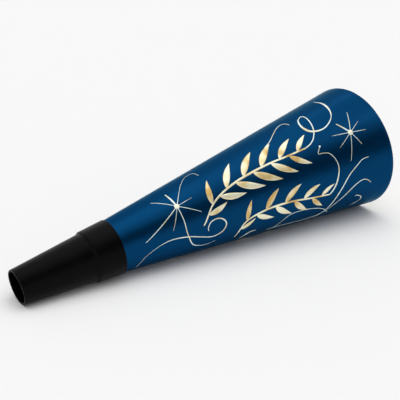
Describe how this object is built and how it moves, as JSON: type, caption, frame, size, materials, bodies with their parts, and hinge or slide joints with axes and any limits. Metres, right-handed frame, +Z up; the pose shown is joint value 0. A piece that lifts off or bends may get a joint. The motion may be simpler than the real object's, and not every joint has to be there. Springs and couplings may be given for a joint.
{
  "type": "party horn blower",
  "caption": "Cone-shaped party horn with a foil-faced card bell, a black plastic mouthpiece, and a reed inside that buzzes when the horn is blown.",
  "frame": {"origin": "centre of the bounding box's underside, on the table that the horn lies on", "axes": "+X from the lips' end towards the bell, +Z up; the horn's axis rises 7.13 degrees from +X towards +Z, because it rests on the edge of the mouthpiece and the rim of the bell"},
  "size_m": [0.233, 0.0762, 0.0756],
  "materials": {
    "foil_card": "satin blue metallic foil with a gold foil print outside, plain pale board inside",
    "adhesive": "dried glue",
    "black_plastic": "satin black moulded plastic",
    "reed_plastic": "plain moulded white plastic",
    "reed_film": "smooth thin film"
  },
  "bodies": {
    "horn": {"bell_cone": "foil_card", "seam_glue": "adhesive", "mouthpiece": "black_plastic", "socket_glue": "adhesive", "reed_body": "reed_plastic", "reed_root": "reed_film", "reed_clip": "reed_plastic"},
    "reed": {"reed_tongue": "reed_film"}
  },
  "joints": [
    {"name": "reed_flex", "type": "hinge", "parent": "horn", "child": "reed", "pos_m": [-0.08327, 0, 0.01349], "axis": [0, 1, 0], "range_deg": [-1.8, 3], "stiffness_Nm_per_rad": 0.0015}
  ]
}
